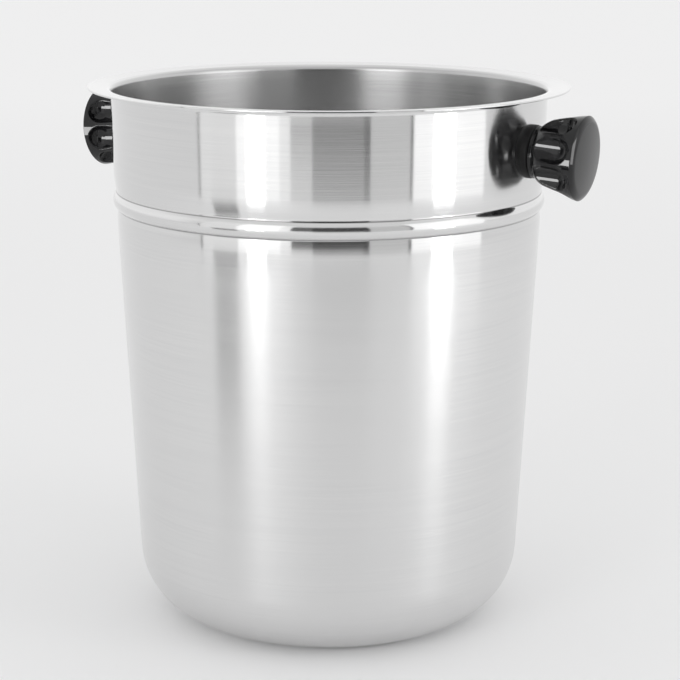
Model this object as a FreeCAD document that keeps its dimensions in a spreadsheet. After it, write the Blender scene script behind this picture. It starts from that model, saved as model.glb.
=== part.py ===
import FreeCAD, Part
import math
import os

import Sketcher

# Ice bucket: a drawn stainless shell with a collar, a rolled bead and a turned-out flange,
# and two fluted knobs, each clamped through the collar by a screw from inside.
# Frame: +Z up, origin at the centre of the base, knobs along +X and -X. Sizes in millimetres.

doc = FreeCAD.newDocument("ice_bucket")

# ---------------------------------------------------------------- driving dimensions

SIZES = {
    # shell, radii to its outside face
    "wall": 0.8,
    "overall_height": 246.5,
    "base_flat_radius": 54.9,
    "corner_radius": 33.4,
    "body_angle": 2.98,
    "shoulder_bottom": 184.0,
    "bead_bottom": 191.7,
    "bead_bottom_radius": 96.2,
    "bead_top": 200.7,
    "bead_top_radius": 96.4,
    "bead_radius": 6.1,
    "tuck_top": 209.0,
    "collar_angle": 1.5,
    "collar_radius": 97.94,
    "rim_radius": 2.9,
    "flange_radius": 108.6,
    "flange_angle": 3.6,
    # knobs, measured along each knob's own axis from the outside of the collar
    "knob_height": 222.0,
    "knob_sag": 2.5,
    "knob_base": 2.4,
    "knob_base_radius": 11.5,
    "knob_base_round": 0.8,
    "knob_neck": 4.2,
    "knob_neck_radius": 11.2,
    "knob_neck_curve": 15.0,
    "knob_waist": 10.0,
    "knob_waist_radius": 15.3,
    "knob_side_curve": 90.0,
    "knob_rim": 24.4,
    "knob_rim_radius": 18.5,
    "knob_rim_curve": 3.0,
    "knob_face": 25.8,
    "knob_face_radius": 16.6,
    "knob_length": 26.8,
    "flute_count": 8,
    "flute_half_length": 10.6,
    "flute_half_width": 6.4,
    "flute_half_depth": 3.2,
    "flute_middle": 14.2,
    "flute_middle_radius": 17.4,
    "flute_tilt": 17.0,
    # what clamps a knob
    "insert_radius": 4.75,
    "insert_waist_radius": 4.1,
    "insert_waist_start": 7.0,
    "insert_waist_end": 12.0,
    "insert_end": 17.0,
    "thread_radius": 3.05,
    "thread_end": 15.0,
    "ring_radius": 11.7,
    "ring_round": 0.9,
    "ring_reach": 1.6,
    "hole_radius": 3.3,
    "washer_radius": 7.0,
    "washer_back": 2.6,
    "lock_washer_bore": 3.2,
    "lock_washer_radius": 5.4,
    "lock_washer_thickness": 1.5,
    "lock_washer_turn": 345.0,
    "screw_radius": 3.0,
    "screw_end": 14.0,
    "screw_point": 1.0,
    "head_radius": 5.6,
    "head_height": 3.4,
    "head_rim": 1.2,
    "recess_length": 5.6,
    "recess_width": 1.4,
    "recess_depth": 2.0,
}

sheet = doc.addObject("Spreadsheet::Sheet", "Sizes")
for row, (alias, value) in enumerate(SIZES.items(), start=1):
    sheet.set("A%d" % row, alias)
    sheet.set("B%d" % row, str(value))
    sheet.setAlias("B%d" % row, alias)
doc.recompute()


def size(alias):
    """The value of one cell of the sheet."""
    return float(sheet.get(alias))


# ---------------------------------------------------------------- sketching

START, END = 1, 2
ORIGIN = (-1, 1)


def value_of(expression):
    """The number that an expression of the sheet stands for."""
    return float(sheet.evalExpression(expression))


def origin_feature(body, role):
    """One of the body's own origin planes or axes."""
    return next(feature for feature in body.Origin.OriginFeatures if feature.Role == role)


def new_body(label):
    body = doc.addObject("PartDesign::Body", label)
    body.Label = label
    return body


def body_sketch(body, name, role="XZ_Plane"):
    """An empty sketch on one of the body's own origin planes."""
    sketch = body.newObject("Sketcher::SketchObject", name)
    sketch.AttachmentSupport = [(origin_feature(body, role), "")]
    sketch.MapMode = "FlatFace"
    return sketch


def arc_between(start, end, radius):
    """The minor arc between two points, bulging left of the way from start to end if radius > 0."""
    along = end - start
    bulge = abs(radius) - math.sqrt(radius ** 2 - (along.Length / 2) ** 2)
    left = FreeCAD.Vector(-along.y, along.x, 0).normalize()
    middle = (start + end) / 2 + left * math.copysign(bulge, radius)
    # a sketch's arcs run anticlockwise, so one that bulges left is drawn from its end
    return Part.Arc(end, middle, start) if radius > 0 else Part.Arc(start, middle, end)


def chain(sketch, corners):
    """Edges joined in a ring through corners (x, y) or, where an arc leaves, (x, y, radius).

    Returns, for each edge, its index and which of its two ends comes first and last on the way.
    """
    edges = []
    for here, there in zip(corners, corners[1:] + corners[:1]):
        start = FreeCAD.Vector(here[0], here[1], 0)
        end = FreeCAD.Vector(there[0], there[1], 0)
        curve = arc_between(start, end, here[2]) if len(here) == 3 else Part.LineSegment(start, end)
        index = sketch.addGeometry(curve, False)
        drawn = sketch.Geometry[index].StartPoint
        forward = (drawn - start).Length < (drawn - end).Length
        edges.append((index, START, END) if forward else (index, END, START))
    for (edge, _, last), (next_edge, first, _) in zip(edges, edges[1:] + edges[:1]):
        sketch.addConstraint(Sketcher.Constraint("Coincident", edge, last, next_edge, first))
    return edges


def bind(sketch, kind, where, expression, guess):
    """A dimension of the sketch that follows an expression of the sheet."""
    index = sketch.addConstraint(Sketcher.Constraint(kind, *where, guess))
    sketch.setExpression("Constraints[%d]" % index, expression)


def pin(sketch, point, x=None, y=None):
    """Fix a sketch point's distances from the origin, each an expression of the sheet."""
    if x is not None:
        bind(sketch, "DistanceX", ORIGIN + point, x, value_of(x))
    if y is not None:
        bind(sketch, "DistanceY", ORIGIN + point, y, value_of(y))


def pinned_profile(sketch, corners):
    """A closed profile whose corners are expressions: (x, y) or, where an arc leaves, (x, y, radius)."""
    edges = chain(sketch, [tuple(value_of(term) for term in corner) for corner in corners])
    for (edge, first, _), corner in zip(edges, corners):
        pin(sketch, (edge, first), corner[0], corner[1])
        if len(corner) == 3:
            bind(sketch, "Radius", (edge,), "abs(%s)" % corner[2], abs(value_of(corner[2])))


def revolve(body, corners, angle="360"):
    """Turn a pinned profile round the body's own Z axis."""
    sketch = body_sketch(body, body.Label + "_profile")
    pinned_profile(sketch, corners)
    turned = body.newObject("PartDesign::Revolution", body.Label + "_turned")
    turned.Profile = sketch
    turned.ReferenceAxis = (origin_feature(body, "Z_Axis"), [""])
    turned.setExpression("Angle", angle)
    return turned


# ---------------------------------------------------------------- where things sit on the collar


def knob_placement(turn):
    """Local +Z leaves the collar, sagging a little from square to its wall.

    turn is about the bucket's own axis.
    """
    seat = FreeCAD.Vector(size("collar_radius"), 0, size("knob_height"))
    dip = 90 + size("collar_angle") + size("knob_sag")
    tip = FreeCAD.Rotation(FreeCAD.Vector(0, 1, 0), dip)
    spin = FreeCAD.Rotation(FreeCAD.Vector(0, 0, 1), turn)
    return FreeCAD.Placement(spin.multVec(seat), spin.multiply(tip))


def collar_cone(name, depth):
    """A solid cone that fills the collar up to a depth under its outside face."""
    reach = 25
    cone = doc.addObject("Part::Cone", name)
    radius = "Sizes.collar_radius - (%s) / cos(Sizes.collar_angle)" % depth
    for end, sign in (("Radius1", "-"), ("Radius2", "+")):
        cone.setExpression(end, "%s %s %d * tan(Sizes.collar_angle)" % (radius, sign, reach))
    cone.Height = 2 * reach
    cone.setExpression("Placement.Base.z", "Sizes.knob_height - %d" % reach)
    return cone


# ---------------------------------------------------------------- bucket shell


def offset(point, lean, distance):
    """A point moved square to a line that leans out by an angle from the vertical, to its left."""
    x, z = point
    return ("%s - (%s) * cos(%s)" % (x, distance, lean), "%s + (%s) * sin(%s)" % (z, distance, lean))


def tangent_radius(tangent_point, other, lean):
    """Radius of the arc through two points that is tangent, at the first, to a leaning line."""
    across = "((%s) - (%s))" % (other[0], tangent_point[0])
    up = "((%s) - (%s))" % (other[1], tangent_point[1])
    gap = "abs(%s * cos(%s) - %s * sin(%s))" % (across, lean, up, lean)
    return "((%s ^ 2 + %s ^ 2) / (2 * %s))" % (across, up, gap)


def shell_corners():
    """The sheet metal's section: up its outside from the base to the lip, and back down inside."""
    wall = "Sizes.wall"
    body = "Sizes.body_angle"
    collar = "Sizes.collar_angle"
    flange = "Sizes.flange_angle"
    foot = ("Sizes.base_flat_radius", "0")
    side = ("Sizes.base_flat_radius + Sizes.corner_radius * cos(%s)" % body,
            "Sizes.corner_radius * (1 - sin(%s))" % body)
    shoulder = ("%s + (Sizes.shoulder_bottom - %s) * tan(%s)" % (side[0], side[1], body),
                "Sizes.shoulder_bottom")
    bead_low = ("Sizes.bead_bottom_radius", "Sizes.bead_bottom")
    bead_high = ("Sizes.bead_top_radius", "Sizes.bead_top")
    tuck = ("(Sizes.collar_radius - (Sizes.knob_height - Sizes.tuck_top) * tan(%s))" % collar,
            "Sizes.tuck_top")

    # The rim's bend is centred at one radius from both the collar's line and the flange's.
    lip = ("Sizes.flange_radius", "Sizes.overall_height - %s * cos(%s)" % (wall, flange))
    bend = "(Sizes.rim_radius - Sizes.wall)"
    reach = "(%s - %s + (%s) * tan(%s) - %s / cos(%s))" % (
        lip[0], tuck[0], tuck[1], collar, bend, collar)
    bend_z = "((%s - %s * tan(%s) - %s / cos(%s)) / (1 - tan(%s) * tan(%s)))" % (
        lip[1], reach, flange, bend, flange, collar, flange)
    bend_x = "(%s + (%s - %s) * tan(%s) + %s / cos(%s))" % (
        tuck[0], bend_z, tuck[1], collar, bend, collar)
    rim_low = offset((bend_x, bend_z), collar, bend)
    rim_high = ("%s - %s * sin(%s)" % (bend_x, bend, flange),
                "%s + %s * cos(%s)" % (bend_z, bend, flange))
    rim_high_in = ("%s - Sizes.rim_radius * sin(%s)" % (bend_x, flange),
                   "%s + Sizes.rim_radius * cos(%s)" % (bend_z, flange))
    lip_top = ("%s - %s * sin(%s)" % (lip[0], wall, flange), "Sizes.overall_height")

    rim_low_in = offset(rim_low, collar, wall)
    tuck_in = offset(tuck, collar, wall)
    bead_high_in = (bead_high[0] + " - " + wall, bead_high[1] + " - 0.4 * " + wall)
    bead_low_in = (bead_low[0] + " - " + wall, bead_low[1] + " + 0.4 * " + wall)
    shoulder_in = offset(shoulder, body, wall)
    side_in = offset(side, body, wall)
    return [
        ("0", "0"),
        foot + ("-Sizes.corner_radius",),
        side,
        shoulder + ("-" + tangent_radius(shoulder, bead_low, body),),
        bead_low + ("-Sizes.bead_radius",),
        bead_high + ("-" + tangent_radius(tuck, bead_high, collar),),
        tuck,
        rim_low + (bend,),
        rim_high,
        lip,
        lip_top,
        rim_high_in + ("-Sizes.rim_radius",),
        rim_low_in,
        tuck_in + (tangent_radius(tuck_in, bead_high_in, collar),),
        bead_high_in + ("Sizes.bead_radius - Sizes.wall",),
        bead_low_in + (tangent_radius(shoulder_in, bead_low_in, body),),
        shoulder_in,
        side_in + ("Sizes.corner_radius - Sizes.wall",),
        ("Sizes.base_flat_radius", wall),
        ("0", wall),
    ]


def bucket_shell(turns):
    """One sheet of steel, turned round the bucket's axis and drilled for the knobs' screws."""
    body = new_body("bucket_shell")
    revolve(body, shell_corners())
    reach = 10
    for number, turn in enumerate(turns, start=1):
        hole = body.newObject("PartDesign::SubtractiveCylinder", "screw_hole_%d" % number)
        hole.setExpression("Radius", "Sizes.hole_radius")
        hole.Height = reach
        hole.MapMode = "Deactivated"
        half_way = FreeCAD.Placement(FreeCAD.Vector(0, 0, -reach / 2), FreeCAD.Rotation())
        hole.Placement = knob_placement(turn).multiply(half_way)
    return body


# ---------------------------------------------------------------- one knob and what clamps it


def crown_radius(radius, height):
    """Radius of a dome that is centred on its axis, negative as its arc bulges outwards."""
    return "-(%s ^ 2 + %s ^ 2) / (2 * %s)" % (radius, height, height)


def knob_grip(label):
    """Moulded bell-shaped grip: neck, flared side, rounded rim and low domed face, with flutes."""
    body = new_body(label)
    dome = crown_radius("Sizes.knob_face_radius", "(Sizes.knob_length - Sizes.knob_face)")
    revolve(body, [
        ("Sizes.insert_radius", "Sizes.knob_base"),
        ("Sizes.knob_base_radius - Sizes.knob_base_round", "Sizes.knob_base",
         "-Sizes.knob_base_round"),
        ("Sizes.knob_base_radius", "Sizes.knob_base + Sizes.knob_base_round"),
        ("Sizes.knob_neck_radius", "Sizes.knob_neck", "-Sizes.knob_neck_curve"),
        ("Sizes.knob_waist_radius", "Sizes.knob_waist", "-Sizes.knob_side_curve"),
        ("Sizes.knob_rim_radius", "Sizes.knob_rim", "-Sizes.knob_rim_curve"),
        ("Sizes.knob_face_radius", "Sizes.knob_face", dome),
        ("0", "Sizes.knob_length"),
        ("0", "Sizes.insert_end"),
        ("Sizes.insert_radius", "Sizes.insert_end"),
        ("Sizes.insert_radius", "Sizes.insert_waist_end"),
        ("Sizes.insert_waist_radius", "Sizes.insert_waist_end"),
        ("Sizes.insert_waist_radius", "Sizes.insert_waist_start"),
        ("Sizes.insert_radius", "Sizes.insert_waist_start"),
    ])
    flute = body.newObject("PartDesign::SubtractiveEllipsoid", label + "_flute")
    flute.MapMode = "Deactivated"
    flute.setExpression("Radius1", "Sizes.flute_half_length")
    flute.setExpression("Radius2", "Sizes.flute_half_depth")
    flute.setExpression("Radius3", "Sizes.flute_half_width")
    flute.Placement.Rotation = FreeCAD.Rotation(FreeCAD.Vector(0, 1, 0), size("flute_tilt"))
    flute.setExpression("Placement.Base.x", "Sizes.flute_middle_radius")
    flute.setExpression("Placement.Base.z", "Sizes.flute_middle")
    doc.recompute()
    flutes = body.newObject("PartDesign::PolarPattern", label + "_flutes")
    flutes.Originals = [flute]
    flutes.Axis = (origin_feature(body, "Z_Axis"), [""])
    flutes.Angle = 360
    flutes.setExpression("Occurrences", "Sizes.flute_count")
    body.Tip = flutes
    return body


def knob_insert(label):
    """Brass bush moulded into the neck: a waist locks it in, and its thread stops short of the end."""
    body = new_body(label)
    revolve(body, [
        ("Sizes.thread_radius", "Sizes.knob_base"),
        ("Sizes.insert_radius", "Sizes.knob_base"),
        ("Sizes.insert_radius", "Sizes.insert_waist_start"),
        ("Sizes.insert_waist_radius", "Sizes.insert_waist_start"),
        ("Sizes.insert_waist_radius", "Sizes.insert_waist_end"),
        ("Sizes.insert_radius", "Sizes.insert_waist_end"),
        ("Sizes.insert_radius", "Sizes.insert_end"),
        ("0", "Sizes.insert_end"),
        ("0", "Sizes.thread_end"),
        ("Sizes.thread_radius", "Sizes.thread_end"),
    ])
    return body


def sealing_ring(label, turn):
    """Rubber ring between the neck and the collar, its inner face shaped to the collar's wall."""
    blank = new_body(label + "_blank")
    revolve(blank, [
        ("Sizes.hole_radius", "-Sizes.ring_reach"),
        ("Sizes.ring_radius", "-Sizes.ring_reach"),
        ("Sizes.ring_radius", "Sizes.knob_base - Sizes.ring_round", "-Sizes.ring_round"),
        ("Sizes.ring_radius - Sizes.ring_round", "Sizes.knob_base"),
        ("Sizes.hole_radius", "Sizes.knob_base"),
    ])
    blank.Placement = knob_placement(turn)
    ring = doc.addObject("Part::Cut", label)
    ring.Base = blank
    ring.Tool = collar_cone(label + "_wall", "0")
    return ring


def inner_washer(label, turn):
    """Washer whose outer face is curved to the inside of the collar and whose back is flat."""
    blank = new_body(label + "_blank")
    revolve(blank, [
        ("Sizes.hole_radius", "-Sizes.washer_back"),
        ("Sizes.washer_radius", "-Sizes.washer_back"),
        ("Sizes.washer_radius", "0"),
        ("Sizes.hole_radius", "0"),
    ])
    blank.Placement = knob_placement(turn)
    washer = doc.addObject("Part::Common", label)
    washer.Base = blank
    washer.Tool = collar_cone(label + "_wall", "Sizes.wall")
    return washer


def lock_washer(label):
    """Split spring washer under the screw's head."""
    body = new_body(label)
    back = "-Sizes.washer_back - Sizes.lock_washer_thickness"
    revolve(body, [
        ("Sizes.lock_washer_bore", back),
        ("Sizes.lock_washer_radius", back),
        ("Sizes.lock_washer_radius", "-Sizes.washer_back"),
        ("Sizes.lock_washer_bore", "-Sizes.washer_back"),
    ], "Sizes.lock_washer_turn")
    return body


def knob_screw(label):
    """Pan-head screw with a cross recess, its thread drawn as a plain shank."""
    body = new_body(label)
    seat = "-Sizes.washer_back - Sizes.lock_washer_thickness"
    dome = crown_radius("Sizes.head_radius", "(Sizes.head_height - Sizes.head_rim)")
    revolve(body, [
        ("0", seat + " - Sizes.head_height", dome),
        ("Sizes.head_radius", seat + " - Sizes.head_rim"),
        ("Sizes.head_radius", seat),
        ("Sizes.screw_radius", seat),
        ("Sizes.screw_radius", "Sizes.screw_end - Sizes.screw_point"),
        ("Sizes.screw_radius - Sizes.screw_point", "Sizes.screw_end"),
        ("0", "Sizes.screw_end"),
    ])
    cross = body_sketch(body, label + "_cross", "XY_Plane")
    cross.setExpression("AttachmentOffset.Base.z", seat + " - Sizes.head_height")
    long, short = "Sizes.recess_length / 2", "Sizes.recess_width / 2"
    corners = []
    for x, y, turned in ((1, 1, False), (-1, 1, True), (-1, -1, False), (1, -1, True)):
        arms = [(long, short), (short, short), (short, long)]
        for across, up in reversed(arms) if turned else arms:
            corners.append(("%d * %s" % (x, across), "%d * %s" % (y, up)))
    pinned_profile(cross, corners)
    recess = body.newObject("PartDesign::Pocket", label + "_recess")
    recess.Profile = cross
    recess.setExpression("Length", "Sizes.recess_depth")
    recess.Reversed = True
    return body


# for each side, where its hole is round the bucket and how far its grip is turned on the screw
SIDES = {"right": (0, 30), "left": (178, 23)}
parts = [bucket_shell([turn for turn, clock in SIDES.values()])]
for side, (turn, clock) in SIDES.items():
    for piece in (knob_grip(side + "_knob_grip"), knob_insert(side + "_knob_insert"),
                  lock_washer(side + "_lock_washer"), knob_screw(side + "_knob_screw")):
        clocking = FreeCAD.Rotation(FreeCAD.Vector(0, 0, 1), clock)
        piece.Placement = knob_placement(turn).multiply(
            FreeCAD.Placement(FreeCAD.Vector(), clocking))
        parts.append(piece)
    parts.append(sealing_ring(side + "_sealing_ring", turn))
    parts.append(inner_washer(side + "_inner_washer", turn))
doc.recompute()

# ---------------------------------------------------------------- check and write

for item in doc.Objects:
    if {"Invalid", "Error"} & set(item.State):
        raise RuntimeError("%s failed: %s" % (item.Name, item.getStatusString()))

flute_cut = doc.getObject("right_knob_grip_turned").Shape.Volume - parts[1].Shape.Volume
recess_cut = doc.getObject("right_knob_screw_turned").Shape.Volume - parts[4].Shape.Volume
if flute_cut < 500 or recess_cut < 10:
    raise RuntimeError("the flutes or the recess cut nothing: %g, %g" % (flute_cut, recess_cut))

os.makedirs("parts", exist_ok=True)
for part in parts:
    if part.Shape.isNull() or not part.Shape.isValid() or len(part.Shape.Solids) != 1:
        raise RuntimeError("%s is not one valid solid" % part.Label)
    part.Shape.exportStep("parts/%s.step" % part.Label)
    box = part.Shape.BoundBox
    print("%-20s %9.1f mm3   x %7.2f..%7.2f   z %6.2f..%6.2f" % (
        part.Label, part.Shape.Volume, box.XMin, box.XMax, box.ZMin, box.ZMax))
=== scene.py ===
import math

import bpy
from mathutils import Matrix, Vector

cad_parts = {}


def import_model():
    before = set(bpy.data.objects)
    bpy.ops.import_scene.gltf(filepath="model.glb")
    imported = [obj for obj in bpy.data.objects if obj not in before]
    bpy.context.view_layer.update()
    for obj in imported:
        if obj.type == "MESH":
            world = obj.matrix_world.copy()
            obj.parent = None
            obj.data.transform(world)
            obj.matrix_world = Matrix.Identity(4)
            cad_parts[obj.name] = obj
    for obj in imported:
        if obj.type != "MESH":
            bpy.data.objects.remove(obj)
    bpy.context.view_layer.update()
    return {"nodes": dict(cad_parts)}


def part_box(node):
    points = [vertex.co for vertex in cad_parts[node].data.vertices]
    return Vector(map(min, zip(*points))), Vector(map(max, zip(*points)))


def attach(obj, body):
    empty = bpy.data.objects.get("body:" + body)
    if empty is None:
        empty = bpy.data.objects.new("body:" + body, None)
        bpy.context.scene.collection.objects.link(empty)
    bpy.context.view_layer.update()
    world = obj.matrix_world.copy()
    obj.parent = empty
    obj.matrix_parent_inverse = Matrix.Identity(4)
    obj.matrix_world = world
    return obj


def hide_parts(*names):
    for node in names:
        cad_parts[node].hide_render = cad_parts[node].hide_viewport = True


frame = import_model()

# Everything is in metres, in the CAD's frame: +Z up, origin at the centre of the base,
# knobs along +X and -X.

MM = 0.001

# ---------------------------------------------------------------- sizes

_, shell_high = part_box("bucket_shell")
HEIGHT = shell_high.z
FLANGE_RADIUS = shell_high.x

WALL = 0.8 * MM
BASE_FLAT_RADIUS = 54.9 * MM
CORNER_RADIUS = 33.4 * MM
BODY_ANGLE = math.radians(2.98)
SHOULDER_Z = 184.0 * MM
BEAD_LOW = (95.9 * MM, 191.7 * MM)
BEAD_HIGH = (96.4 * MM, 199.4 * MM)
BEAD_RADIUS = 4.8 * MM
TUCK_Z = 209.0 * MM
COLLAR_ANGLE = math.radians(1.5)
COLLAR_RADIUS = 97.94 * MM
RIM_RADIUS = 2.9 * MM
FLANGE_ANGLE = math.radians(3.6)
LIP_ROUND = 0.25 * MM
TUCK_ROUND = 1.0 * MM
BEAD_ROUND = 0.5 * MM
CREASE_WIDTH = 0.45 * MM
POLISH_FADE = 12.0 * MM
LATHE_STEPS = 512

KNOB_Z = 222.0 * MM
KNOB_SAG = math.radians(2.5)
KNOB_STEPS = 448
# for each side, where its hole is round the bucket and how far its grip is turned on the screw
SIDES = {"right": (0.0, math.radians(30)), "left": (math.radians(178), math.radians(30))}


# ---------------------------------------------------------------- outlines


def arc(centre, radius, start, end, steps):
    """Points of an arc, by angle from +x in radians, ends included."""
    points = []
    for i in range(steps + 1):
        angle = start + (end - start) * i / steps
        points.append((centre[0] + radius * math.cos(angle), centre[1] + radius * math.sin(angle)))
    return points


def arc_through(start, end, radius, steps):
    """Points of the minor arc between two points, bulging left of the way if radius > 0."""
    along = Vector(end) - Vector(start)
    half = along.length / 2
    depth = math.sqrt(radius ** 2 - half ** 2)
    left = Vector((-along.y, along.x)).normalized()
    side = math.copysign(1, radius)
    centre = (Vector(start) + Vector(end)) / 2 - left * depth * side
    first = math.atan2(start[1] - centre.y, start[0] - centre.x)
    turn = -side * 2 * math.asin(half / abs(radius))
    return arc(centre, abs(radius), first, first + turn, steps)


def tangent_radius(tangent_point, other, lean):
    """Radius of the arc through two points, tangent at the first to a line leaning out by lean."""
    across = other[0] - tangent_point[0]
    up = other[1] - tangent_point[1]
    return (across ** 2 + up ** 2) / (2 * abs(across * math.cos(lean) - up * math.sin(lean)))


def cut_back(points, reach):
    """Shorten a polyline from its start by some distance along it."""
    for i in range(1, len(points)):
        step = (Vector(points[i]) - Vector(points[i - 1])).length
        if step > reach:
            start = Vector(points[i - 1]).lerp(Vector(points[i]), reach / step)
            return [tuple(start)] + points[i:]
        reach -= step
    return points[-1:]


def round_corner(points, at, reach, steps=8):
    """Replace a polyline's corner by a curve that starts and ends some distance from it."""
    corner = Vector(points[at])
    before = cut_back(points[at::-1], reach)[::-1]
    after = cut_back(points[at:], reach)
    start, end = Vector(before[-1]), Vector(after[0])
    curve = []
    for i in range(1, steps):
        t = i / steps
        curve.append(tuple(start * (1 - t) ** 2 + corner * 2 * t * (1 - t) + end * t ** 2))
    return before + curve + after


def wall_line(inset):
    """The shell's line from the middle of the base to the flange's end, inset from the outside.

    inset is 0 for the outside face and the sheet's gauge for the inside face.
    """
    corner_centre = (BASE_FLAT_RADIUS, CORNER_RADIUS)
    side = (corner_centre[0] + CORNER_RADIUS * math.cos(BODY_ANGLE),
            corner_centre[1] - CORNER_RADIUS * math.sin(BODY_ANGLE))
    shoulder = (side[0] + (SHOULDER_Z - side[1]) * math.tan(BODY_ANGLE), SHOULDER_Z)
    tuck = (COLLAR_RADIUS - (KNOB_Z - TUCK_Z) * math.tan(COLLAR_ANGLE), TUCK_Z)

    def inwards(point, lean):
        return (point[0] - inset * math.cos(lean), point[1] + inset * math.sin(lean))

    low = (BEAD_LOW[0] - inset, BEAD_LOW[1] + 0.4 * inset)
    high = (BEAD_HIGH[0] - inset, BEAD_HIGH[1] - 0.4 * inset)
    shoulder = inwards(shoulder, BODY_ANGLE)
    tuck = inwards(tuck, COLLAR_ANGLE)

    line = [(0.0, inset), (BASE_FLAT_RADIUS / 2, inset)]
    line += arc(corner_centre, CORNER_RADIUS - inset, -math.pi / 2, -BODY_ANGLE, 40)
    foot = Vector(line[-1])
    for i in range(1, 12):
        line.append(tuple(foot.lerp(Vector(shoulder), i / 12)))
    line += arc_through(shoulder, low, -tangent_radius(shoulder, low, BODY_ANGLE), 10)
    line = line[:-1]
    low_at = len(line)
    line += arc_through(low, high, -(BEAD_RADIUS - inset), 28)
    high_at = len(line) - 1
    line += arc_through(high, tuck, -tangent_radius(tuck, high, COLLAR_ANGLE), 14)[1:]

    bend = RIM_RADIUS - WALL
    rise = math.tan(FLANGE_ANGLE)
    lean = math.tan(COLLAR_ANGLE)
    outer_tuck = (COLLAR_RADIUS - (KNOB_Z - TUCK_Z) * lean, TUCK_Z)
    under_lip = (FLANGE_RADIUS, HEIGHT - WALL * math.cos(FLANGE_ANGLE))
    reach = under_lip[0] - outer_tuck[0] + outer_tuck[1] * lean - bend / math.cos(COLLAR_ANGLE)
    centre_z = ((under_lip[1] - reach * rise - bend / math.cos(FLANGE_ANGLE)) / (1 - lean * rise))
    centre_x = outer_tuck[0] + (centre_z - outer_tuck[1]) * lean + bend / math.cos(COLLAR_ANGLE)
    rim = arc((centre_x, centre_z), bend + inset, math.pi - COLLAR_ANGLE,
              math.pi / 2 + FLANGE_ANGLE, 16)
    tuck_end = Vector(line[-1])
    for i in range(1, 6):
        line.append(tuple(tuck_end.lerp(Vector(rim[0]), i / 6)))
    line += rim
    flange_start = Vector(rim[-1])
    flange_end = Vector((FLANGE_RADIUS - inset * math.sin(FLANGE_ANGLE),
                         under_lip[1] + inset * math.cos(FLANGE_ANGLE)))
    for i in (1, 2, 3):
        line.append(tuple(flange_start.lerp(flange_end, i / 3)))
    line = round_corner(line, high_at, TUCK_ROUND)
    return round_corner(line, low_at, BEAD_ROUND)


def lathe(name, section, steps, squash=None):
    """The section turned round Z. Points on the axis become the middle of a fan.

    squash(angle, radius, height), if given, is how far a point is drawn in.
    """
    vertices, faces = [], []
    rings = []
    for radius, height in section:
        if radius < 1e-7:
            rings.append([len(vertices)])
            vertices.append((0.0, 0.0, height))
            continue
        ring = []
        for i in range(steps):
            angle = 2 * math.pi * i / steps
            ring.append(len(vertices))
            inset = squash(angle, radius, height) if squash else 0.0
            r = radius - inset
            vertices.append((r * math.cos(angle), r * math.sin(angle), height))
        rings.append(ring)
    for one, two in zip(rings, rings[1:]):
        for i in range(steps):
            j = (i + 1) % steps
            if len(one) == 1 and len(two) == 1:
                continue
            if len(one) == 1:
                faces.append((one[0], two[j], two[i]))
            elif len(two) == 1:
                faces.append((one[i], one[j], two[0]))
            else:
                faces.append((one[i], one[j], two[j], two[i]))
    mesh = bpy.data.meshes.new(name)
    mesh.from_pydata(vertices, [], faces)
    mesh.update()
    mesh.polygons.foreach_set("use_smooth", [True] * len(mesh.polygons))
    obj = bpy.data.objects.new(name, mesh)
    bpy.context.scene.collection.objects.link(obj)
    return obj


# ---------------------------------------------------------------- node helpers


class Nodes:
    """Small helper to write a material's nodes one per line."""

    def __init__(self, name):
        self.material = bpy.data.materials.new(name)
        self.material.use_nodes = True
        self.tree = self.material.node_tree
        self.shader = self.tree.nodes["Principled BSDF"]

    def add(self, kind, inputs=None, **settings):
        node = self.tree.nodes.new(kind)
        for key, value in settings.items():
            setattr(node, key, value)
        for key, value in (inputs or {}).items():
            self.feed(node.inputs[key], value)
        return node

    def feed(self, socket, value):
        if isinstance(value, bpy.types.NodeSocket):
            self.tree.links.new(value, socket)
        else:
            socket.default_value = value

    def set(self, **values):
        for key, value in values.items():
            self.feed(self.shader.inputs[key.replace("_", " ")], value)

    def ramp(self, fac, stops):
        node = self.add("ShaderNodeValToRGB", {"Fac": fac})
        elements = node.color_ramp.elements
        while len(elements) < len(stops):
            elements.new(0.5)
        for element, (position, value) in zip(elements, stops):
            element.position = position
            element.color = (value, value, value, 1) if isinstance(value, float) else value
        return node.outputs["Color"]

    def math(self, operation, a, b=0.0):
        node = self.add("ShaderNodeMath", {0: a, 1: b}, operation=operation)
        return node.outputs[0]


def turned_coordinates(nodes, around, along):
    """Coordinates for marks left by turning: slow round the axis, quick along the section."""
    place = nodes.add("ShaderNodeTexCoord").outputs["Object"]
    parts = nodes.add("ShaderNodeSeparateXYZ", {0: place})
    x, y, z = parts.outputs
    radius = nodes.math("SQRT", nodes.math("ADD", nodes.math("MULTIPLY", x, x),
                                           nodes.math("MULTIPLY", y, y)))
    travel = nodes.math("MULTIPLY", nodes.math("ADD", radius, z), along)
    across = nodes.math("MULTIPLY", x, around)
    deep = nodes.math("MULTIPLY", y, around)
    return nodes.add("ShaderNodeCombineXYZ", {0: across, 1: deep, 2: travel}).outputs[0]


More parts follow.
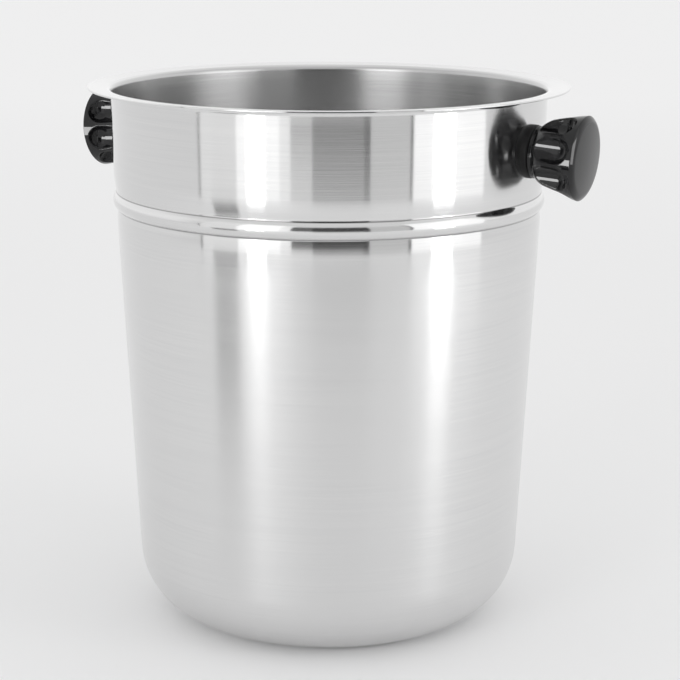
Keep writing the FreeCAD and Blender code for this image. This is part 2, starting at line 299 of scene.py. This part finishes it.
def stainless():
    """Satin body and inside, brighter collar, bead and flange, all with turning marks.

    The inside and the bead's two creases get painted shade: their colour is darkened.
    """
    nodes = Nodes("stainless")
    fine = nodes.add("ShaderNodeTexNoise", {
        "Vector": turned_coordinates(nodes, 14.0, 1900.0), "Scale": 1.0, "Detail": 3.0,
        "Roughness": 0.6}).outputs[0]
    broad = nodes.add("ShaderNodeTexNoise", {
        "Vector": turned_coordinates(nodes, 5.0, 130.0), "Scale": 1.0, "Detail": 2.0,
        "Roughness": 0.5}).outputs[0]
    colour = nodes.ramp(fine, [(0.3, (0.715, 0.715, 0.717, 1)), (0.7, (0.765, 0.764, 0.762, 1))])

    place = nodes.add("ShaderNodeTexCoord").outputs["Object"]
    height = nodes.add("ShaderNodeSeparateXYZ", {0: place}).outputs[2]
    normal = nodes.add("ShaderNodeNewGeometry").outputs["Normal"]
    outwards = nodes.add("ShaderNodeVectorMath", {
        0: nodes.add("ShaderNodeVectorMath", {0: place, 1: (1, 1, 0)},
                     operation="MULTIPLY").outputs[0]}, operation="NORMALIZE").outputs[0]
    facing = nodes.add("ShaderNodeVectorMath", {0: normal, 1: outwards},
                       operation="DOT_PRODUCT").outputs["Value"]
    inside = nodes.add("ShaderNodeMapRange", {
        "Value": facing, "From Min": -0.55, "From Max": -0.85}).outputs[0]
    body = nodes.add("ShaderNodeMapRange", {
        "Value": height, "From Min": SHOULDER_Z, "From Max": SHOULDER_Z - POLISH_FADE}).outputs[0]
    satin = nodes.math("MAXIMUM", body, inside)
    roughness = nodes.add("ShaderNodeMapRange", {
        "Value": satin, "To Min": COLLAR_ROUGHNESS, "To Max": BODY_ROUGHNESS}).outputs[0]
    streak = nodes.add("ShaderNodeMapRange", {
        "Value": satin, "To Min": 1.0, "To Max": BODY_ANISOTROPY}).outputs[0]
    # painted shade: the colour of the inward-facing sheet is darkened by INSIDE_SHADE
    shade = nodes.add("ShaderNodeMapRange", {
        "Value": inside, "To Min": 1.0, "To Max": INSIDE_SHADE}).outputs[0]
    # painted shade: a thin dark line is painted into the colour along each of the bead's two
    # creases
    for crease in (BEAD_LOW[1], BEAD_HIGH[1]):
        away = nodes.math("ABSOLUTE", nodes.math("SUBTRACT", height, crease))
        line = nodes.add("ShaderNodeMapRange", {
            "Value": away, "From Max": CREASE_WIDTH, "To Min": CREASE_SHADE}).outputs[0]
        shade = nodes.math("MULTIPLY", shade, line)
    colour = nodes.add("ShaderNodeVectorMath", {0: colour, "Scale": shade},
                       operation="SCALE").outputs[0]
    grain = nodes.math("ADD", nodes.math("MULTIPLY", nodes.math("SUBTRACT", fine, 0.5), 0.05),
                       nodes.math("MULTIPLY", nodes.math("SUBTRACT", broad, 0.5), 0.03))
    roughness = nodes.math("ADD", roughness, grain)
    bump = nodes.add("ShaderNodeBump", {"Height": fine, "Strength": 0.05, "Distance": 0.0002})
    tangent = nodes.add("ShaderNodeTangent", direction_type="RADIAL", axis="Z")
    nodes.set(Base_Color=colour, Metallic=1.0, Roughness=roughness, Anisotropic=streak,
              Anisotropic_Rotation=0.25, Normal=bump.outputs[0], Tangent=tangent.outputs[0])
    return nodes.material


def knob_plastic():
    """Glossy black moulding, very slightly clouded and rippled."""
    nodes = Nodes("knob_black")
    place = nodes.add("ShaderNodeTexCoord").outputs["Object"]
    cloud = nodes.add("ShaderNodeTexNoise", {"Vector": place, "Scale": 260.0, "Detail": 3.0})
    ripple = nodes.add("ShaderNodeTexNoise", {"Vector": place, "Scale": 900.0, "Detail": 2.0})
    colour = nodes.ramp(cloud.outputs[0], [(0.3, (0.002, 0.002, 0.0023, 1)),
                                           (0.7, (0.006, 0.006, 0.0065, 1))])
    roughness = nodes.math("ADD", nodes.math("MULTIPLY", cloud.outputs[0], 0.03), 0.025)
    bump = nodes.add("ShaderNodeBump", {"Height": ripple.outputs[0], "Strength": 0.03,
                                        "Distance": 0.0001})
    nodes.set(Base_Color=colour, Roughness=roughness, Specular_IOR_Level=0.4,
              Normal=bump.outputs[0])
    return nodes.material


def rubber():
    """Dull black sealing ring with a fine grain."""
    nodes = Nodes("rubber")
    place = nodes.add("ShaderNodeTexCoord").outputs["Object"]
    grain = nodes.add("ShaderNodeTexNoise", {"Vector": place, "Scale": 2500.0, "Detail": 4.0})
    colour = nodes.ramp(grain.outputs[0], [(0.3, (0.004, 0.004, 0.004, 1)),
                                           (0.7, (0.009, 0.009, 0.0095, 1))])
    roughness = nodes.math("ADD", nodes.math("MULTIPLY", grain.outputs[0], 0.2), 0.4)
    bump = nodes.add("ShaderNodeBump", {"Height": grain.outputs[0], "Strength": 0.2,
                                        "Distance": 0.0001})
    nodes.set(Base_Color=colour, Roughness=roughness, Specular_IOR_Level=0.25,
              Normal=bump.outputs[0])
    return nodes.material


def turned_metal(name, dark, light, roughness):
    """Small turned or rolled metal parts, with faint grain."""
    nodes = Nodes(name)
    place = nodes.add("ShaderNodeTexCoord").outputs["Object"]
    grain = nodes.add("ShaderNodeTexNoise", {"Vector": place, "Scale": 1800.0, "Detail": 3.0})
    colour = nodes.ramp(grain.outputs[0], [(0.3, dark), (0.7, light)])
    rough = nodes.math("ADD", nodes.math("MULTIPLY", grain.outputs[0], 0.12), roughness)
    bump = nodes.add("ShaderNodeBump", {"Height": grain.outputs[0], "Strength": 0.08,
                                        "Distance": 0.0001})
    nodes.set(Base_Color=colour, Metallic=1.0, Roughness=rough, Normal=bump.outputs[0])
    return nodes.material


COLLAR_ROUGHNESS = 0.125
BODY_ROUGHNESS = 0.25
BODY_ANISOTROPY = 0.76
# painted shade: how far the inside's colour is darkened
INSIDE_SHADE = 0.76
# painted shade: how dark the painted lines along the bead's creases are
CREASE_SHADE = 0.35

STAINLESS = stainless()
KNOB = knob_plastic()
RUBBER = rubber()
BRASS = turned_metal("brass", (0.62, 0.45, 0.18, 1), (0.80, 0.61, 0.27, 1), 0.22)
STEEL = turned_metal("fastener_steel", (0.52, 0.52, 0.51, 1), (0.66, 0.66, 0.65, 1), 0.2)


# ---------------------------------------------------------------- bucket shell


def bucket_shell():
    """The spun sheet: outside face, inside face and a rounded lip between them."""
    outside = wall_line(0.0)
    inside = wall_line(WALL)
    section = outside + inside[::-1]
    lip_low = len(outside) - 1
    section = round_corner(section, lip_low + 1, LIP_ROUND)
    section = round_corner(section, lip_low, LIP_ROUND)
    shell = lathe("bucket_shell_spun", section, LATHE_STEPS)
    shell.data.materials.append(STAINLESS)
    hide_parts("bucket_shell")
    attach(shell, "root")
    return shell


shells = bpy.data.collections.new("shells")
shells.objects.link(bucket_shell())

# ---------------------------------------------------------------- knobs

KNOB_BASE = 2.4 * MM
BASE_RADIUS = 11.5 * MM
BASE_ROUND = 0.8 * MM
NECK = (11.2 * MM, 4.2 * MM)
WAIST = (15.3 * MM, 10.0 * MM)
RIM = (18.5 * MM, 24.4 * MM)
FACE = (15.2 * MM, 26.05 * MM)
CROWN_Z = 26.8 * MM
BORE_RADIUS = 4.75 * MM
NECK_CURVE = 1.2 * MM
WAIST_CURVE = 15.0 * MM
SIDE_CURVE = 90.0 * MM
FACE_CURVE = 5.2 * MM
# each flute is drawn parallel to the knob's axis and ends in a ball near the rim
FLUTES = 8
FLUTE_RADIUS = 6.4 * MM
FLUTE_AXIS = 18.7 * MM
FLUTE_HIGH = 16.3 * MM
FLUTE_EDGE = 0.2 * MM
FLUTE_CLEAR = 1.5 * MM


def knob_section():
    """The grip's outline from its base, up its side and over its face to the axis."""
    section = [(BORE_RADIUS, KNOB_BASE), (8.0 * MM, KNOB_BASE)]
    section += arc((BASE_RADIUS - BASE_ROUND, KNOB_BASE + BASE_ROUND), BASE_ROUND,
                   -math.pi / 2, 0, 8)
    section += arc_through((BASE_RADIUS, KNOB_BASE + BASE_ROUND), NECK, NECK_CURVE, 6)[1:]
    section += arc_through(NECK, WAIST, -WAIST_CURVE, 30)[1:]
    section += arc_through(WAIST, RIM, -SIDE_CURVE, 90)[1:]
    section += arc_through(RIM, FACE, -FACE_CURVE, 20)[1:]
    crown = CROWN_Z - FACE[1]
    dome = (FACE[0] ** 2 + crown ** 2) / (2 * crown)
    section += arc_through(FACE, (0.0, CROWN_Z), -dome, 12)[1:]
    return section


def flute_inset(angle, radius, height):
    """How far a flute goes in from the grip's outline at that place, blended at its edge."""
    pitch = 2 * math.pi / FLUTES
    off = (angle + pitch / 2) % pitch - pitch / 2
    past_end = max(0.0, height - FLUTE_HIGH)
    room = FLUTE_RADIUS ** 2 - (FLUTE_AXIS * math.sin(off)) ** 2 - past_end ** 2
    if height < KNOB_BASE + BASE_ROUND or height > RIM[1]:
        return 0.0
    floor_radius = FLUTE_AXIS * math.cos(off) - math.copysign(math.sqrt(abs(room)), room)
    scoop = radius - floor_radius
    return (scoop + math.hypot(scoop, FLUTE_EDGE)) / 2 if scoop > -FLUTE_CLEAR else 0.0


def knob_matrix(turn, clock):
    """Local +Z leaves the collar, sagging a little from square to its wall."""
    seat = Matrix.Translation((COLLAR_RADIUS, 0, KNOB_Z))
    tip = Matrix.Rotation(math.pi / 2 + COLLAR_ANGLE + KNOB_SAG, 4, "Y")
    return Matrix.Rotation(turn, 4, "Z") @ seat @ tip @ Matrix.Rotation(clock, 4, "Z")


def knob_grip(side, turn, clock):
    """One moulded grip, in place of the CAD's."""
    grip = lathe(side + "_knob_moulding", knob_section(), KNOB_STEPS, flute_inset)
    grip.data.transform(knob_matrix(turn, clock))
    grip.data.materials.append(KNOB)
    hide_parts(side + "_knob_grip")
    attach(grip, "root")
    return grip


grips = bpy.data.collections.new("grips")
for side, (turn, clock) in SIDES.items():
    grips.objects.link(knob_grip(side, turn, clock))
    for node, material in (("_sealing_ring", RUBBER), ("_knob_insert", BRASS),
                           ("_inner_washer", STEEL), ("_lock_washer", STEEL),
                           ("_knob_screw", STEEL)):
        piece = frame["nodes"][side + node]
        piece.data.materials.clear()
        piece.data.materials.append(material)

# ---------------------------------------------------------------- camera

CAMERA_AZIMUTH = math.radians(26.5)
CAMERA_DISTANCE = 0.93442
CAMERA_HEIGHT = 0.34226
CAMERA_PITCH = math.radians(12.927)
CAMERA_YAW = math.radians(0.3207)
CAMERA_ROLL = math.radians(0.14)
CAMERA_LENS = 109.227
CAMERA_SENSOR = 36.0


def camera():
    """A long lens a little above the rim, looking down at the bucket."""
    data = bpy.data.cameras.new("camera")
    data.sensor_width = CAMERA_SENSOR
    data.lens = CAMERA_LENS
    data.clip_start, data.clip_end = 0.01, 100
    eye = bpy.data.objects.new("camera", data)
    place = Matrix.Translation((CAMERA_DISTANCE * math.sin(CAMERA_AZIMUTH),
                                -CAMERA_DISTANCE * math.cos(CAMERA_AZIMUTH), CAMERA_HEIGHT))
    heading = Matrix.Rotation(CAMERA_AZIMUTH - CAMERA_YAW, 4, "Z")
    pitch = Matrix.Rotation(math.pi / 2 - CAMERA_PITCH, 4, "X")
    roll = Matrix.Rotation(CAMERA_ROLL, 4, "Z")
    eye.matrix_world = place @ heading @ pitch @ roll
    bpy.context.scene.collection.objects.link(eye)
    bpy.context.scene.camera = eye


camera()

# ---------------------------------------------------------------- floor, lights and cards


def around(azimuth):
    """Turn about the bucket's axis to an azimuth measured from the camera's side, in degrees."""
    return Matrix.Rotation(CAMERA_AZIMUTH + math.radians(azimuth), 4, "Z")


def card(name, start, end, top, radiance, distance=0.95, bottom=0.0):
    """An upright card round the table, seen only in reflections. Angles are in degrees."""
    steps = max(1, round((end - start) / 4))
    vertices, faces = [], []
    for i in range(steps + 1):
        spoke = around(start + (end - start) * i / steps) @ Vector((0, -distance, 0))
        vertices += [(spoke.x, spoke.y, bottom), (spoke.x, spoke.y, top)]
    for i in range(steps):
        faces.append((2 * i, 2 * i + 2, 2 * i + 3, 2 * i + 1))
    mesh = bpy.data.meshes.new(name)
    mesh.from_pydata(vertices, [], faces)
    nodes = Nodes(name)
    nodes.set(Base_Color=(0, 0, 0, 1), Roughness=1.0, Specular_IOR_Level=0.0,
              Emission_Color=(1, 1, 1, 1), Emission_Strength=radiance)
    mesh.materials.append(nodes.material)
    obj = bpy.data.objects.new(name, mesh)
    obj.visible_camera = False
    obj.visible_diffuse = False
    obj.visible_shadow = False
    bpy.context.scene.collection.objects.link(obj)


def banded_card(name, start, end, bands, distance=0.95):
    """A card of level bands, each given by its bottom, its top and its radiance."""
    for bottom, top, radiance in bands:
        card(name, start, end, top, radiance, distance=distance, bottom=bottom)


def softbox(name, azimuth, width, height, distance, middle, radiance, only=None):
    """A rectangular lamp that faces the bucket; it may light one collection only."""
    data = bpy.data.lights.new(name, "AREA")
    data.shape = "RECTANGLE"
    data.size = width
    data.size_y = height
    data.energy = radiance * math.pi * width * height
    lamp = bpy.data.objects.new(name, data)
    tilt = math.atan2(middle - LAMP_AIM, distance)
    lamp.matrix_world = (around(azimuth) @ Matrix.Translation((0, -distance, middle))
                         @ Matrix.Rotation(math.pi / 2 - tilt, 4, "X"))
    lamp.visible_camera = False
    lamp.light_linking.receiver_collection = only
    bpy.context.scene.collection.objects.link(lamp)


def floor():
    """A white table that glows with painted light, a little more towards the back."""
    mesh = bpy.data.meshes.new("floor")
    corners = [(-FLOOR_REACH, -FLOOR_REACH, 0), (FLOOR_REACH, -FLOOR_REACH, 0),
               (FLOOR_REACH, FLOOR_REACH, 0), (-FLOOR_REACH, FLOOR_REACH, 0)]
    mesh.from_pydata(corners, [], [(0, 1, 2, 3)])
    ground = bpy.data.objects.new("floor", mesh)
    nodes = Nodes("floor")
    place = nodes.add("ShaderNodeTexCoord").outputs["Object"]
    turned = nodes.add("ShaderNodeVectorRotate", {"Vector": place, "Angle": -CAMERA_AZIMUTH},
                       rotation_type="Z_AXIS").outputs[0]
    back = nodes.add("ShaderNodeSeparateXYZ", {0: turned}).outputs[1]
    depth = nodes.add("ShaderNodeMapRange", {"Value": back, "From Min": -0.4, "From Max": 2.2})
    # painted light: the floor glows, weaker near the camera and stronger towards the back
    glow = nodes.ramp(depth.outputs[0], [(0.0, FLOOR_GLOW_NEAR), (1.0, FLOOR_GLOW_FAR)])
    nodes.set(Base_Color=(0.82, 0.82, 0.822, 1), Roughness=0.9, Specular_IOR_Level=0.1,
              Emission_Color=glow, Emission_Strength=1.0)
    mesh.materials.append(nodes.material)
    bpy.context.scene.collection.objects.link(ground)


def world():
    """A bright room, a little brighter in the sweep low behind the bucket."""
    sky = bpy.data.worlds.new("studio")
    bpy.context.scene.world = sky
    sky.use_nodes = True
    tree = sky.node_tree
    background = tree.nodes["Background"]

    def add(kind, inputs, **settings):
        node = tree.nodes.new(kind)
        for key, value in settings.items():
            setattr(node, key, value)
        for key, value in inputs.items():
            if isinstance(value, bpy.types.NodeSocket):
                tree.links.new(value, node.inputs[key])
            else:
                node.inputs[key].default_value = value
        return node.outputs

    heading = add("ShaderNodeTexCoord", {})["Generated"]
    turned = add("ShaderNodeVectorRotate", {"Vector": heading, "Angle": -CAMERA_AZIMUTH},
                 rotation_type="Z_AXIS")[0]
    parts = add("ShaderNodeSeparateXYZ", {0: turned})
    behind = add("ShaderNodeMapRange", {"Value": parts[1], "From Min": -0.35, "From Max": 0.0},
                 interpolation_type="SMOOTHSTEP")[0]
    low = add("ShaderNodeMapRange", {"Value": parts[2], "From Min": 0.75, "From Max": 0.45},
              interpolation_type="SMOOTHSTEP")[0]
    sweep = add("ShaderNodeMath", {0: behind, 1: low}, operation="MULTIPLY")[0]
    level = add("ShaderNodeMapRange", {"Value": sweep, "To Min": ROOM, "To Max": SWEEP})[0]
    tree.links.new(level, background.inputs["Strength"])
    background.inputs["Color"].default_value = (1, 1, 1, 1)


LAMP_AIM = 0.12
ROOM = 0.82
SWEEP = 1.0
FLOOR_REACH = 14.0
# painted light: how much the floor glows near the camera and far behind the bucket
FLOOR_GLOW_NEAR = 0.06
FLOOR_GLOW_FAR = 0.15

FRONT_EDGE = ((0.0, 0.10, 0.95), (0.10, 0.75, 0.14))
FRONT_DARK = ((0.0, 0.08, 0.50), (0.08, 0.095, 0.34), (0.095, 0.108, 0.14), (0.108, 0.75, 0.05))
FRONT_POST = ((0.0, 0.08, 0.26), (0.08, 0.75, 0.06))
LEFT_BOX = ((0.0, 0.05, 0.10), (0.05, 0.10, 0.52))

floor()
world()

# the room's two lamps, then narrow ones that make the bands on the steel and the knobs' glints
softbox("left_lamp", -33, 0.50, 0.05, 1.15, 0.50, 22.0)
softbox("left_band", -36, 0.14, 0.06, 0.90, 0.05, 6.5, shells)
softbox("right_band", 59, 0.18, 0.06, 0.90, 0.05, 9.0, shells)
softbox("edge_lamp", -53, 0.70, 0.22, 0.62, 0.12, 14.0, grips)
softbox("face_lamp", 62, 0.24, 0.30, 0.60, 0.24, 4.5, grips)
softbox("right_lamp", 62, 0.45, 0.05, 1.15, 0.50, 22.0)

# bright cards at the sides, dark ones in front where the camera stands
card("left_end", -66, -46, 1.0, 0.95)
card("left_panel", -46, -24, 1.0, 1.30)
card("left_fade", -24, -18.5, 1.0, 1.05)
card("right_panel", 41.6, 84, 1.0, 1.30)
banded_card("front_edge", -18.5, -8, FRONT_EDGE)
banded_card("front_dark", -8, 17, FRONT_DARK)
banded_card("front_post", 17, 20, FRONT_POST)
card("front_light", 20, 40.2, 0.75, 0.64)
card("right_stand", 40.2, 41.6, 0.9, 0.12)
card("left_stand", -67.6, -66.6, 0.30, 0.25)
banded_card("left_box", -58, -44.5, LEFT_BOX, distance=0.47)

view = bpy.context.scene.view_settings
view.view_transform = "Standard"
view.look = "None"
view.exposure = 0.0
view.gamma = 1.0
